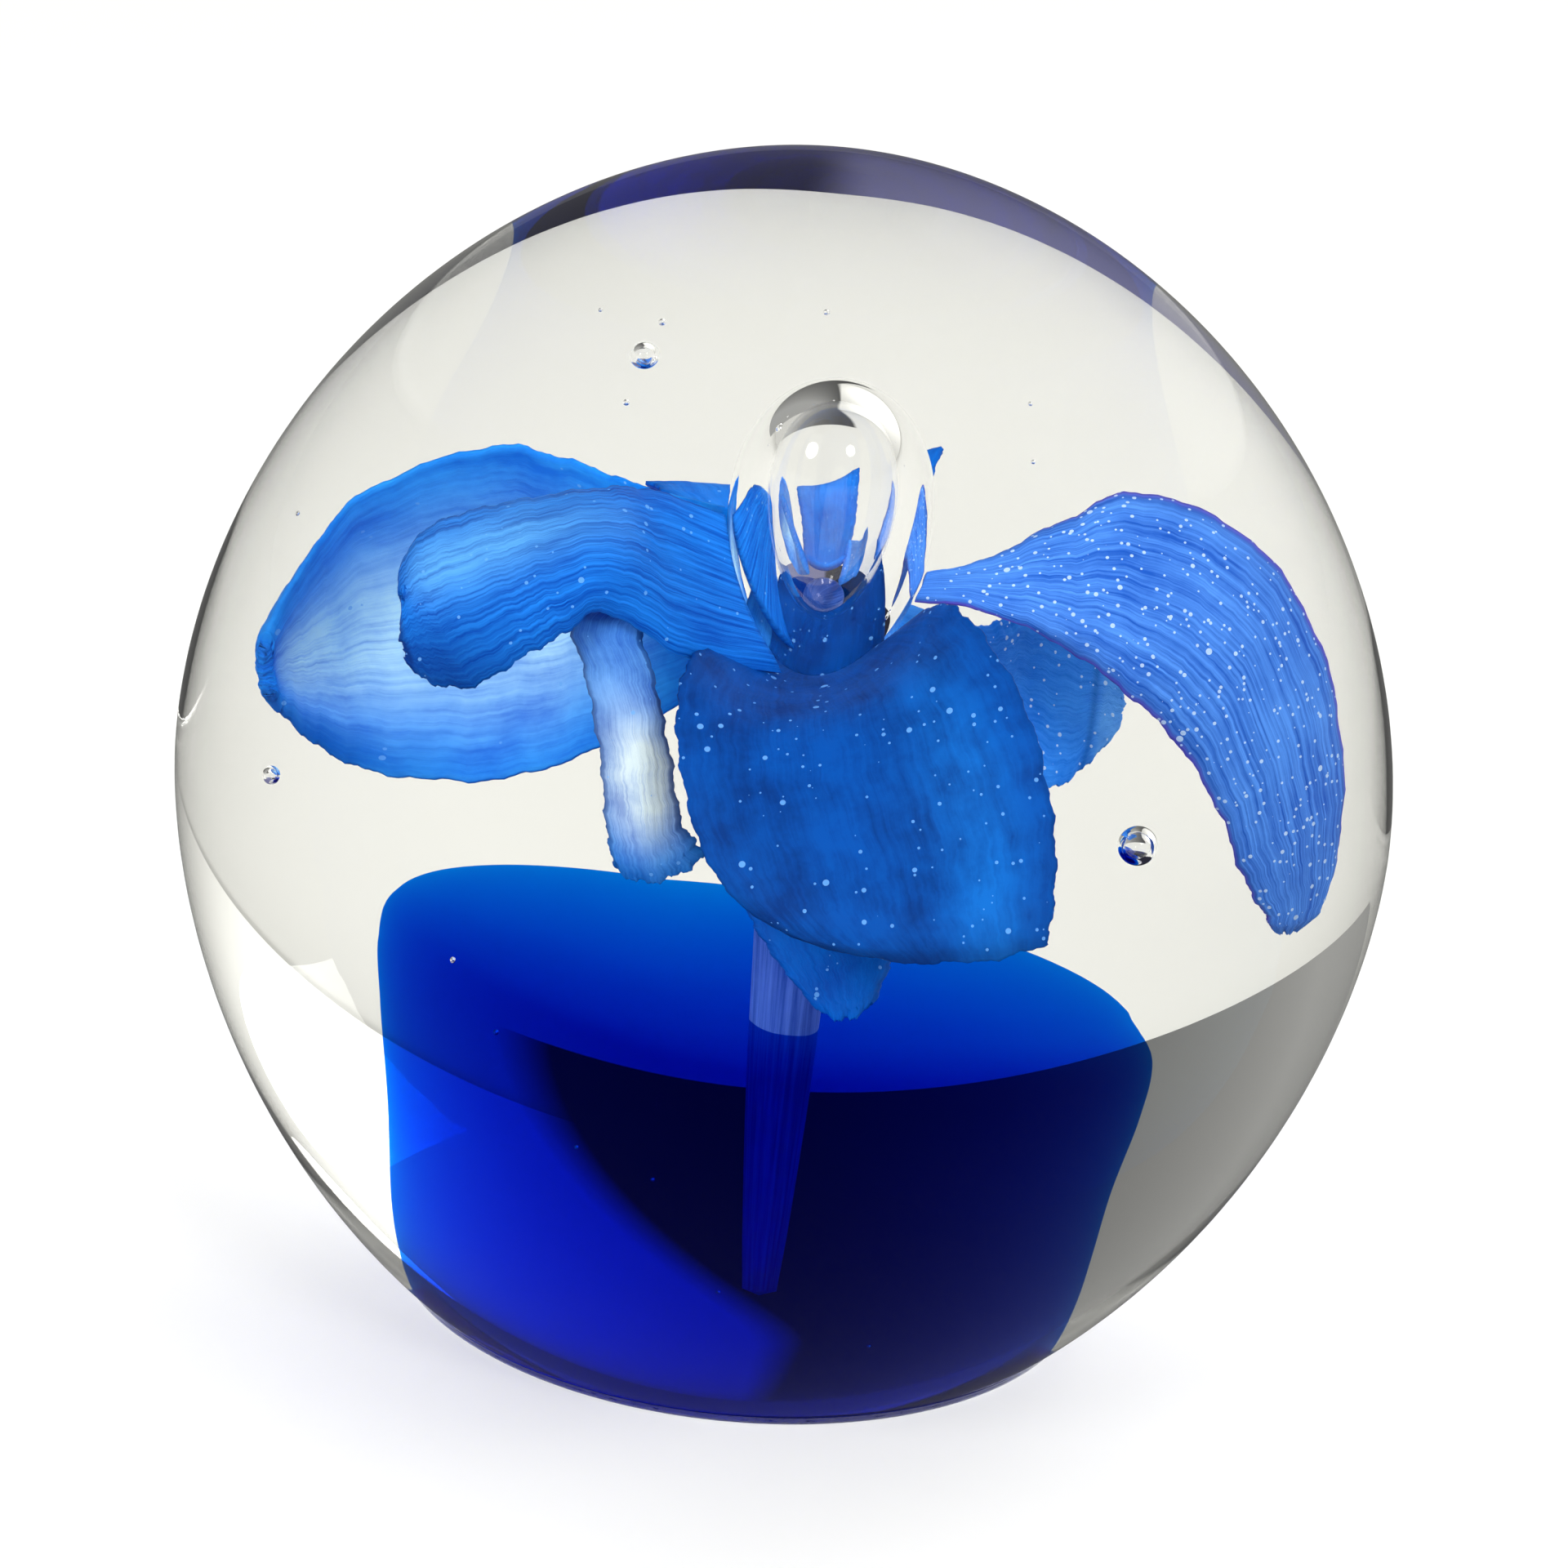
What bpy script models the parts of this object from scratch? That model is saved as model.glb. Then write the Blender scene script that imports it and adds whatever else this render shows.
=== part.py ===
"""Glass paperweight: a clear body closed round an enamel flower, an air bubble and a cobalt base.

Units are metres in the scene. The named dimensions below are millimetres.
The origin is the centre of the foot, +Z is up and the front of the flower faces -Y.
"""

import math

import bmesh
import bpy
import numpy as np

MM = 0.001

# Clear body: a crown and a tail that meet at the widest ring, cut flat at the foot.
BODY_RADIUS = 40.0
EQUATOR_HEIGHT = 36.0
CROWN_HEIGHT = 41.9
CROWN_POWER = 1.9
TAIL_HEIGHT = 45.7
TAIL_POWER = 1.82
FOOT_EDGE = 0.7
BODY_SEGMENTS = 56
CROWN_RINGS = 13
TAIL_RINGS = 11

# Clearance between neighbouring pieces.
GAP = 0.3

# The flower, the bubble and the stem share one upright axis.
FLOWER_X = 1.0
BUBBLE_RADIUS = 4.75
BUBBLE_HALF_HEIGHT = 7.9
BUBBLE_HEIGHT = 49.1
BUBBLE_EGG = 0.12
BUBBLE_SEGMENTS = 24
BUBBLE_RINGS = 12

STEM_SEGMENTS = 16
# Radius and height, from the point inside the base up to the rim under the bubble.
STEM_OUTLINE = [(0.5, 12.0), (0.8, 18.0), (1.5, 25.0), (1.8, 32.0), (2.2, 38.0), (2.9, 40.8)]

# Cobalt base: radius and height, from the foot up to the rounded shoulder.
BASE_SEGMENTS = 48
BASE_OUTLINE = [
    (11.8, 0.0),
    (12.2, 4.0),
    (13.2, 9.0),
    (14.3, 14.0),
    (15.2, 20.0),
    (16.0, 23.0),
    (16.0, 24.3),
    (15.2, 25.2),
    (12.0, 25.5),
]

# Petals.
PETAL_THICKNESS = 0.8
PETAL_ROWS = 13
PETAL_COLUMNS = 4
ROOT_REACH = 0.8
NUDGE = 0.01

# Each petal: how far its middle bows out, where its root meets the bubble as
# (angle, height) for both edges, then pairs of points along its two edges.
PETALS = {
    "petal_front": (
        1.2,
        ((-135, 42.8), (-55, 43.2)),
        [
            ((-1.6, -5.5, 44.8), (4.6, -5.5, 45.6)),
            ((-4.8, -8.5, 44.4), (8.2, -8.5, 46.9)),
            ((-5.7, -12.0, 42.4), (12.1, -12.0, 45.2)),
            ((-4.2, -15.0, 38.5), (14.1, -15.0, 41.2)),
            ((-1.8, -17.0, 35.4), (14.5, -17.0, 37.4)),
            ((1.8, -18.0, 34.0), (12.7, -18.0, 34.6)),
        ],
    ),
    "petal_right": (
        -0.8,
        ((4, 46.9), (-14, 46.0)),
        [
            ((7.8, 1.5, 47.0), (8.0, -0.5, 46.1)),
            ((11.2, 4.0, 48.5), (12.1, -1.0, 44.5)),
            ((14.8, 6.0, 49.5), (15.3, -1.0, 42.3)),
            ((20.4, 6.0, 47.4), (17.6, 0.0, 39.5)),
            ((23.7, 6.0, 42.1), (19.4, 1.0, 35.9)),
            ((24.1, 6.0, 35.5), (20.3, 2.0, 32.5)),
            ((22.9, 5.0, 30.3), (21.1, 4.0, 29.8)),
        ],
    ),
    "petal_back_right": (
        -0.6,
        ((52, 44.0), (38, 42.2)),
        [
            ((7.4, 6.6, 41.6), (7.9, 5.0, 37.8)),
            ((9.0, 9.0, 41.0), (9.4, 6.0, 35.2)),
            ((10.8, 11.0, 39.5), (11.0, 7.0, 33.9)),
            ((12.2, 12.0, 37.5), (12.3, 9.0, 34.6)),
            ((12.8, 12.2, 36.3), (12.9, 11.4, 35.4)),
        ],
    ),
    "petal_back": (
        -0.8,
        ((122, 43.8), (68, 43.8)),
        [
            ((-2.9, 6.0, 44.2), (4.2, 6.0, 44.8)),
            ((-4.9, 8.5, 45.3), (4.7, 8.5, 46.6)),
            ((-6.4, 11.0, 44.9), (5.0, 11.0, 47.4)),
            ((-5.4, 13.5, 42.5), (4.4, 13.5, 44.5)),
        ],
    ),
    "petal_back_left": (
        1.5,
        ((158, 46.5), (142, 42.4)),
        [
            ((-4.9, 4.6, 46.6), (-4.3, 3.8, 40.5)),
            ((-7.0, 6.5, 46.7), (-5.7, 5.0, 36.8)),
            ((-10.0, 9.0, 46.4), (-8.4, 7.0, 33.2)),
            ((-13.4, 10.0, 46.2), (-11.6, 9.0, 31.0)),
            ((-17.6, 12.0, 42.2), (-15.5, 10.0, 30.4)),
            ((-19.7, 12.0, 37.9), (-18.2, 11.0, 31.0)),
            ((-20.4, 12.0, 35.2), (-19.9, 12.0, 33.2)),
        ],
    ),
    "petal_left": (
        0.8,
        ((176, 48.5), (-152, 46.0)),
        [
            ((-7.4, -1.6, 49.8), (-5.8, -4.5, 46.2)),
            ((-11.5, -3.0, 51.2), (-9.3, -6.8, 47.2)),
            ((-15.7, -4.0, 50.7), (-12.6, -8.0, 45.5)),
            ((-19.2, -5.0, 49.9), (-15.2, -8.0, 43.2)),
            ((-20.4, -6.0, 47.7), (-17.4, -8.0, 42.5)),
            ((-20.4, -6.8, 45.3), (-19.2, -7.6, 42.6)),
        ],
    ),
    "petal_front_left": (
        0.3,
        ((-166, 43.8), (-146, 42.6)),
        [
            ((-4.6, -2.4, 44.8), (-3.2, -4.0, 43.4)),
            ((-9.0, -4.2, 45.2), (-6.0, -5.4, 43.8)),
            ((-10.0, -5.5, 43.8), (-6.4, -6.0, 42.4)),
            ((-9.2, -7.0, 40.8), (-5.6, -7.0, 40.0)),
            ((-8.2, -8.0, 37.0), (-4.9, -8.0, 36.5)),
            ((-7.4, -8.0, 34.2), (-4.8, -8.0, 34.2)),
        ],
    ),
}

# The small petal under the front one grows from the stem, so its root is given as points.
UNDER_PETAL = (
    0.3,
    [
        ((0.0, -2.9, 38.6), (2.2, -2.9, 38.6)),
        ((0.2, -6.0, 36.5), (4.8, -6.0, 36.8)),
        ((0.6, -9.0, 33.4), (5.9, -9.0, 33.9)),
        ((0.6, -10.2, 31.2), (6.1, -10.2, 31.5)),
        ((3.2, -12.0, 29.4), (4.9, -12.0, 29.6)),
    ],
)

CLEAR = (0.93, 0.95, 0.95, 1.0)
COBALT = (0.01, 0.03, 0.42, 1.0)
ENAMEL = (0.03, 0.15, 0.62, 1.0)
PALE_ENAMEL = (0.30, 0.42, 0.80, 1.0)


def clear_scene():
    for obj in list(bpy.data.objects):
        bpy.data.objects.remove(obj, do_unlink=True)


def glassy(name, colour, roughness, transmission):
    material = bpy.data.materials.new(name)
    material.use_nodes = True
    shader = material.node_tree.nodes["Principled BSDF"]
    shader.inputs["Base Color"].default_value = colour
    shader.inputs["Roughness"].default_value = roughness
    shader.inputs["Transmission Weight"].default_value = transmission
    return material


def mesh_object(name, points, faces, material=None, smooth=True):
    mesh = bpy.data.meshes.new(name)
    mesh.from_pydata([tuple(float(c) * MM for c in p) for p in points], [], faces)
    obj = bpy.data.objects.new(name, mesh)
    bpy.context.scene.collection.objects.link(obj)
    work = bmesh.new()
    work.from_mesh(mesh)
    bmesh.ops.recalc_face_normals(work, faces=work.faces)
    work.to_mesh(mesh)
    work.free()
    if smooth:
        mesh.shade_smooth()
    if material:
        mesh.materials.append(material)
    return obj


def make_cutter(obj):
    obj.hide_render = True
    obj.display_type = "WIRE"
    return obj


def cut(obj, cutter):
    modifier = obj.modifiers.new("cut_" + cutter.name, "BOOLEAN")
    modifier.operation = "DIFFERENCE"
    modifier.solver = "EXACT"
    modifier.object = cutter


def turned(name, outline, segments, centre_x, material=None):
    """A closed solid of revolution. The outline runs upward, off the axis at both ends."""
    points = []
    for radius, height in outline:
        for i in range(segments):
            angle = 2 * math.pi * i / segments
            points.append((centre_x + radius * math.cos(angle), radius * math.sin(angle), height))
    faces = []
    for ring in range(len(outline) - 1):
        low = ring * segments
        high = low + segments
        for i in range(segments):
            j = (i + 1) % segments
            faces.append((low + i, low + j, high + j, high + i))
    faces.append(tuple(range(segments)))
    faces.append(tuple(range(len(points) - segments, len(points))))
    return mesh_object(name, points, faces, material)


def body_radius(height):
    rise = height - EQUATOR_HEIGHT
    reach, power = (CROWN_HEIGHT, CROWN_POWER) if rise >= 0 else (TAIL_HEIGHT, TAIL_POWER)
    return BODY_RADIUS * max(0.0, 1 - (abs(rise) / reach) ** power) ** (1 / power)


def body_outline():
    """Radius and height from the foot to the top, with rings closer together near the top."""
    outline = [(body_radius(0) - FOOT_EDGE, 0.0)]
    low = FOOT_EDGE
    for i in range(TAIL_RINGS):
        height = low + (EQUATOR_HEIGHT - low) * i / TAIL_RINGS
        outline.append((body_radius(height), height))
    for i in range(CROWN_RINGS):
        turn = math.pi / 2 * i / CROWN_RINGS
        height = EQUATOR_HEIGHT + CROWN_HEIGHT * math.sin(turn)
        outline.append((body_radius(height), height))
    top = EQUATOR_HEIGHT + CROWN_HEIGHT
    outline.append((0.6, top))
    return outline


def bubble_radius(height):
    turn = math.acos(max(-1.0, min(1.0, (height - BUBBLE_HEIGHT) / BUBBLE_HALF_HEIGHT)))
    return BUBBLE_RADIUS * math.sin(turn) * (1 + BUBBLE_EGG * math.cos(turn))


def bubble_outline():
    outline = []
    for i in range(1, 2 * BUBBLE_RINGS):
        turn = math.pi * (1 - i / (2 * BUBBLE_RINGS))
        height = BUBBLE_HEIGHT + BUBBLE_HALF_HEIGHT * math.cos(turn)
        outline.append((bubble_radius(height), height))
    return outline[::2]


def on_bubble(angle, height):
    """A point a clearance away from the bubble."""
    reach = bubble_radius(height) + GAP
    turn = math.radians(angle)
    return (FLOWER_X + reach * math.cos(turn), reach * math.sin(turn), height)


def spline(controls, amount):
    """The point at amount (0 to 1) on a smooth curve through the controls."""
    count = len(controls) - 1
    place = amount * count
    i = min(int(place), count - 1)
    t = place - i
    p1, p2 = controls[i], controls[i + 1]
    p0 = controls[i - 1] if i > 0 else 2 * p1 - p2
    p3 = controls[i + 2] if i + 2 <= count else 2 * p2 - p1
    b = p2 - p0
    c = 2 * p0 - 5 * p1 + 4 * p2 - p3
    d = 3 * p1 - p0 - 3 * p2 + p3
    return p1 + (b * t + c * t * t + d * t ** 3) / 2


def direction(controls, amount):
    run = spline(controls, min(amount + NUDGE, 1.0)) - spline(controls, max(amount - NUDGE, 0.0))
    return run / np.linalg.norm(run)


def petal_rows(root_grow, grow):
    """How far along each row lies, and how far past an end it is moved."""
    rows = [(amount, 0.0) for amount in np.linspace(0, 1, PETAL_ROWS + 1)]
    if root_grow:
        rows.insert(0, (0.0, -root_grow))
    if grow:
        rows.append((1.0, grow))
    return rows


def petal_grid(stations, bow, grow, root_grow):
    """Middle surface of a petal as a grid of points and normals, its edges moved out by grow."""
    left = np.array([s[0] for s in stations], float)
    right = np.array([s[1] for s in stations], float)
    even = list(np.linspace(0, 1, PETAL_COLUMNS + 1))
    grid = []
    normals = []
    for amount, past in petal_rows(root_grow, grow):
        left_run = direction(left, amount)
        right_run = direction(right, amount)
        a = spline(left, amount) + left_run * past
        b = spline(right, amount) + right_run * past
        margin = grow / np.linalg.norm(b - a)
        across = np.array([-margin] + even + [1 + margin] if grow else even)[:, None]
        run = left_run + (right_run - left_run) * np.clip(across, 0, 1)
        normal = np.cross(run, b - a)
        normal /= np.linalg.norm(normal, axis=1, keepdims=True)
        rise = bow * math.sin(math.pi * amount ** 0.8) * 4 * across * (1 - across)
        grid.append(a + (b - a) * across + normal * rise)
        normals.append(normal)
    return np.array(grid), np.array(normals)


def petal_solid(name, stations, bow, thickness, grow, root_grow, material=None):
    grid, normal = petal_grid(stations, bow, grow, root_grow)
    rows, columns = grid.shape[:2]
    top = (grid + normal * thickness / 2).reshape(-1, 3)
    bottom = (grid - normal * thickness / 2).reshape(-1, 3)
    under = rows * columns
    faces = []
    for i in range(rows - 1):
        for j in range(columns - 1):
            a = i * columns + j
            quad = (a, a + 1, a + columns + 1, a + columns)
            faces.append(quad)
            faces.append(tuple(under + k for k in reversed(quad)))
    rim = [j for j in range(columns)]
    rim += [i * columns + columns - 1 for i in range(1, rows)]
    rim += [(rows - 1) * columns + j for j in range(columns - 2, -1, -1)]
    rim += [i * columns for i in range(rows - 2, 0, -1)]
    for a, b in zip(rim, rim[1:] + rim[:1]):
        faces.append((b, a, under + a, under + b))
    points = np.concatenate([top, bottom])
    return mesh_object(name, points, faces, material, smooth=False)


def petal_stations():
    """Name, bow and stations of every petal, roots included."""
    found = []
    for name, (bow, root, stations) in PETALS.items():
        first = (on_bubble(*root[0]), on_bubble(*root[1]))
        found.append((name, bow, [first] + stations))
    found.append(("petal_front_under", UNDER_PETAL[0], UNDER_PETAL[1]))
    return found


def grown(outline, amount):
    """The outline moved out by amount, and lengthened by it at both ends."""
    radii = [radius + amount for radius, _ in outline]
    heights = [height for _, height in outline]
    heights[0] -= amount
    heights[-1] += amount
    return list(zip(radii, heights))


def build_flower(clear_body):
    enamel = glassy("petal_enamel", ENAMEL, 0.3, 0.0)
    for name, bow, stations in petal_stations():
        petal_solid(name, stations, bow, PETAL_THICKNESS, 0.0, 0.0, enamel.copy())
        slot_thickness = PETAL_THICKNESS + 2 * GAP
        slot = petal_solid("slot_" + name, stations, bow, slot_thickness, GAP, ROOT_REACH)
        cut(clear_body, make_cutter(slot))
    bubble = turned("bubble_void", bubble_outline(), BUBBLE_SEGMENTS, FLOWER_X)
    cut(clear_body, make_cutter(bubble))


def build_stem(clear_body, base):
    pale = glassy("stem_enamel", PALE_ENAMEL, 0.3, 0.0)
    turned("flower_stem", STEM_OUTLINE, STEM_SEGMENTS, FLOWER_X, pale)
    bore_outline = grown(STEM_OUTLINE, GAP)
    bore_outline[-1] = (bore_outline[-1][0], bore_outline[-1][1] + 2 * GAP)
    bore = make_cutter(turned("stem_bore", bore_outline, STEM_SEGMENTS, FLOWER_X))
    cut(clear_body, bore)
    cut(base, bore)


def build():
    clear_scene()
    clear_glass = glassy("clear_crystal", CLEAR, 0.02, 1.0)
    cobalt_glass = glassy("cobalt_glass", COBALT, 0.05, 0.5)
    clear_body = turned("clear_body", body_outline(), BODY_SEGMENTS, 0.0, clear_glass)
    base = turned("cobalt_base", BASE_OUTLINE, BASE_SEGMENTS, 0.0, cobalt_glass)
    pocket = turned("base_pocket", grown(BASE_OUTLINE, GAP), BASE_SEGMENTS, 0.0)
    cut(clear_body, make_cutter(pocket))
    build_stem(clear_body, base)
    build_flower(clear_body)


build()
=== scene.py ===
"""Glass paperweight: clear ball round a blue flower, an air bubble and a cobalt base.

Lengths are millimetres until MM turns them into the scene's metres.
The origin is the centre of the foot, +Z is up and the front of the flower faces -Y.
"""
import math

import bmesh
import bpy
import numpy as np
from mathutils import Matrix, Vector


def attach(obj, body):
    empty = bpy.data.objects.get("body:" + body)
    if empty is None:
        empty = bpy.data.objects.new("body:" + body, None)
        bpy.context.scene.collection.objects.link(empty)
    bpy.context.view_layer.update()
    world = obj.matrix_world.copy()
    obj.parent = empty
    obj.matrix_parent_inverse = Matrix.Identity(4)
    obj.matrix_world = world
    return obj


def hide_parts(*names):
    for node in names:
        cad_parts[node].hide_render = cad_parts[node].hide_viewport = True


MM = 0.001

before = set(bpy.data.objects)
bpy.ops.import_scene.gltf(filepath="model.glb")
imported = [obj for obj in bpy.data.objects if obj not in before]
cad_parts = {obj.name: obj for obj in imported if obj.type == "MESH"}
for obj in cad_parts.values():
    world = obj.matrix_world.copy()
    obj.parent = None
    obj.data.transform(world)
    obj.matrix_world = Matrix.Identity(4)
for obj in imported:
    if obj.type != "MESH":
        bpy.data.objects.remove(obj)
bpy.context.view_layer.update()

# Clear body.
BODY_RADIUS = 40.0
EQUATOR_HEIGHT = 36.0
CROWN_HEIGHT = 41.9
CROWN_POWER = 1.9
TAIL_HEIGHT = 45.7
TAIL_POWER = 1.82
FOOT_ROUND = 0.7
FOOT_ROUND_STEPS = 6
FOOT_RINGS = (0.3, 0.6, 0.85)
BODY_SEGMENTS = 192
CROWN_RINGS = 72
TAIL_RINGS = 64

# Bubble at the heart of the flower.
FLOWER_X = 1.0
BUBBLE_RADIUS = 4.75
BUBBLE_HALF_HEIGHT = 8.1
BUBBLE_HEIGHT = 49.2
BUBBLE_EGG = 0.12
BUBBLE_RINGS = 72
BUBBLE_SEGMENTS = 96
ROOT_CLEARANCE = 0.12

# Seed bubbles: radius and centre.
SEEDS = [
    (0.75, (-8.6, 1.0, 57.7)),
    (0.2, (-7.9, 2.0, 59.3)),
    (0.17, (-9.2, 0.0, 55.3)),
    (0.17, (-0.1, 1.0, 61.5)),
    (0.12, (10.5, -1.0, 54.7)),
    (0.12, (-11.5, 0.0, 61.4)),
    (0.12, (10.2, 0.0, 57.7)),
    (0.14, (-25.1, 2.0, 46.8)),
    (0.9, (15.5, 2.0, 33.4)),
    (0.4, (-21.2, 6.0, 31.2)),
    (0.14, (-15.3, -12.0, 29.5)),
    (0.13, (-11.6, -4.0, 24.4)),
    (0.11, (-8.2, -12.0, 20.7)),
    (0.12, (-0.8, -12.0, 13.0)),
    (0.1, (6.8, -11.0, 9.7)),
    (0.1, (-4.3, -10.0, 19.1)),
]
SEED_RINGS = 16
SEED_SEGMENTS = 24

# Cobalt base: radius and height, from just above the foot up to the dished top.
BASE_OUTLINE = [
    (0.0, 0.12),
    (11.4, 0.12),
    (12.0, 2.0),
    (12.9, 7.0),
    (14.0, 12.5),
    (14.9, 18.0),
    (15.9, 22.0),
    (16.4, 24.3),
    (16.2, 25.3),
    (15.2, 25.7),
    (11.0, 25.3),
    (5.0, 24.9),
    (0.0, 24.8),
]
BASE_SEGMENTS = 128
# Its top is tilted. The tilt fades in over a span of height, and its rises are per millimetre sideways.
TILT_FROM = 14
TILT_SPAN = 8
TILT_LEFT = 0.045
TILT_FRONT = 0.05
LIP_FROM = 4
LIP_RISE = 0.11

# Stem: radius and height, from inside the cobalt up to the petals.
STEM_OUTLINE = [
    (0.0, 12.0),
    (0.7, 12.3),
    (0.9, 15.0),
    (1.15, 19.0),
    (1.5, 25.0),
    (1.8, 32.0),
    (2.2, 38.0),
    (2.8, 40.6),
    (2.4, 40.8),
    (0.0, 40.7),
]
STEM_SEGMENTS = 48
STEM_STREAK_LENGTH = 30
ONCE_ROUND = 6.28

# Petals.
PETAL_THICKNESS = 0.7
PETAL_RIM = 0.05
PETAL_RIDGES = 0.02
PETAL_FRAY = 0.14
PETAL_ROWS = 120
PETAL_COLUMNS = 64
TIP_ROWS = 14

# Crystal: its index and tint, how much of its head-on mirror image the ball keeps, and of lamplight passed.
# The grey tint is partly the crystal's own faint colour and partly painted shade. It darkens the floor seen
# through the ball as the ball's shadow would.
CRYSTAL_INDEX = 1.5
CRYSTAL_TINT_AND_SHADE = (0.79, 0.79, 0.75)
CRYSTAL_GLINT = 0.05
CRYSTAL_PASSES = 0.78
BUBBLE_PASSES = 0.95

# Cobalt is fused into crystal of its own index, so light doesn't bend between them: an index of 1.
COBALT_INDEX = 1.0
COBALT_SKIN = ((0.0, 0.12, 0.68), (0.002, 0.24, 0.82))
COBALT_DEPTH = (0.0, 0.80, 0.965)
COBALT_DENSITY = 700.0
COBALT_PASSES = (0.02, 0.03, 0.2)

# Enamel: specks are cells per metre and size in a cell. The specks are tiny bubbles in the enamel, and
# their pale colour is a painted glint.
VIOLET = (0.13, 0.07, 0.6)
BLUE_SPECK_GLINT = (0.15, 0.42, 0.9)
WHITE_SPECK_GLINT = (0.6, 0.8, 1.0)
FINE_SPECKS = (2400.0, 0.22)
LARGE_SPECKS = (900.0, 0.14)
SPECK_GLINT_STRENGTH = 0.7


def material_base(name):
    material = bpy.data.materials.new(name)
    material.use_nodes = True
    nodes = material.node_tree.nodes
    return material, nodes, material.node_tree.links, nodes["Principled BSDF"]


def let_lamps_through(nodes, links, shader, tint):
    """Lamps reach what the glass encloses, dimmed by the tint."""
    path = nodes.new("ShaderNodeLightPath")
    clear = nodes.new("ShaderNodeBsdfTransparent")
    clear.inputs["Color"].default_value = (*tint, 1.0)
    mix = nodes.new("ShaderNodeMixShader")
    links.new(path.outputs["Is Shadow Ray"], mix.inputs[0])
    links.new(shader.outputs[0], mix.inputs[1])
    links.new(clear.outputs[0], mix.inputs[2])
    links.new(mix.outputs[0], nodes["Material Output"].inputs["Surface"])


def grind_foot(nodes, links, shader):
    """The flat the ball stands on is ground, so it is frosted and scratched. The rest is fire-polished."""
    place = nodes.new("ShaderNodeNewGeometry")
    height = nodes.new("ShaderNodeSeparateXYZ")
    links.new(place.outputs["Position"], height.inputs[0])
    foot = nodes.new("ShaderNodeMapRange")
    foot.inputs["From Min"].default_value = 0.05 * MM
    foot.inputs["From Max"].default_value = FOOT_ROUND * MM
    foot.inputs["To Min"].default_value = 1.0
    foot.inputs["To Max"].default_value = 0.0
    links.new(height.outputs["Z"], foot.inputs["Value"])
    scratches = nodes.new("ShaderNodeTexNoise")
    scratches.inputs["Scale"].default_value = 900.0
    scratches.inputs["Detail"].default_value = 4.0
    links.new(place.outputs["Position"], scratches.inputs["Vector"])
    grain = math_node(nodes, links, "MULTIPLY_ADD", scratches.outputs["Fac"], 0.3, 0.15)
    links.new(math_node(nodes, links, "MULTIPLY", foot.outputs["Result"], grain),
              shader.inputs["Roughness"])


def clear_glass(name, glint, tint, passes, ground_foot=False):
    """Clear crystal. glint is how much of its head-on mirror image it keeps."""
    material, nodes, links, shader = material_base(name)
    shader.inputs["Base Color"].default_value = (*tint, 1.0)
    shader.inputs["Roughness"].default_value = 0.0
    shader.inputs["IOR"].default_value = CRYSTAL_INDEX
    shader.inputs["Transmission Weight"].default_value = 1.0
    shader.inputs["Specular Tint"].default_value = (glint, glint, glint, 1.0)
    if ground_foot:
        grind_foot(nodes, links, shader)
    let_lamps_through(nodes, links, shader, (passes, passes, passes))
    return material


def cobalt_glass(name):
    """Cobalt glass: deepest at its skin, slightly uneven, and darker still through its thickness."""
    material, nodes, links, shader = material_base(name)
    where = nodes.new("ShaderNodeTexCoord")
    clouds = nodes.new("ShaderNodeTexNoise")
    clouds.inputs["Scale"].default_value = 110.0
    clouds.inputs["Detail"].default_value = 3.0
    links.new(where.outputs["Object"], clouds.inputs["Vector"])
    skin = mix_colour(nodes, links, clouds.outputs["Fac"], *COBALT_SKIN)
    links.new(skin, shader.inputs["Base Color"])
    shader.inputs["Roughness"].default_value = 0.0
    shader.inputs["IOR"].default_value = COBALT_INDEX
    shader.inputs["Transmission Weight"].default_value = 1.0
    absorb = nodes.new("ShaderNodeVolumeAbsorption")
    absorb.inputs["Color"].default_value = (*COBALT_DEPTH, 1.0)
    absorb.inputs["Density"].default_value = COBALT_DENSITY
    links.new(absorb.outputs[0], nodes["Material Output"].inputs["Volume"])
    let_lamps_through(nodes, links, shader, COBALT_PASSES)
    return material


def math_node(nodes, links, operation, first, second=None, third=None):
    node = nodes.new("ShaderNodeMath")
    node.operation = operation
    for socket, value in zip(node.inputs, (first, second, third)):
        if isinstance(value, (int, float)):
            socket.default_value = value
        elif value is not None:
            links.new(value, socket)
    return node.outputs[0]


def mix_colour(nodes, links, factor, first, second):
    node = nodes.new("ShaderNodeMix")
    node.data_type = "RGBA"
    for socket, value in ((node.inputs[0], factor), (node.inputs[6], first), (node.inputs[7], second)):
        if isinstance(value, tuple):
            socket.default_value = (*value, 1.0)
        elif isinstance(value, (int, float)):
            socket.default_value = value
        else:
            links.new(value, socket)
    return node.outputs[2]


def seed_speck_glints(nodes, links, place, scale, size, share):
    """1 inside small round specks scattered through the enamel, 0 between them. The specks are tiny bubbles
    that get a painted glint.
    """
    cells = nodes.new("ShaderNodeTexVoronoi")
    cells.inputs["Scale"].default_value = scale
    links.new(place, cells.inputs["Vector"])
    split = nodes.new("ShaderNodeSeparateColor")
    links.new(cells.outputs["Color"], split.inputs[0])
    chosen = math_node(nodes, links, "LESS_THAN", split.outputs[0], share)
    radius = math_node(nodes, links, "MULTIPLY_ADD", split.outputs[1], size * 0.7, size * 0.5)
    inside = math_node(nodes, links, "LESS_THAN", cells.outputs["Distance"], radius)
    return math_node(nodes, links, "MULTIPLY", inside, chosen)


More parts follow.
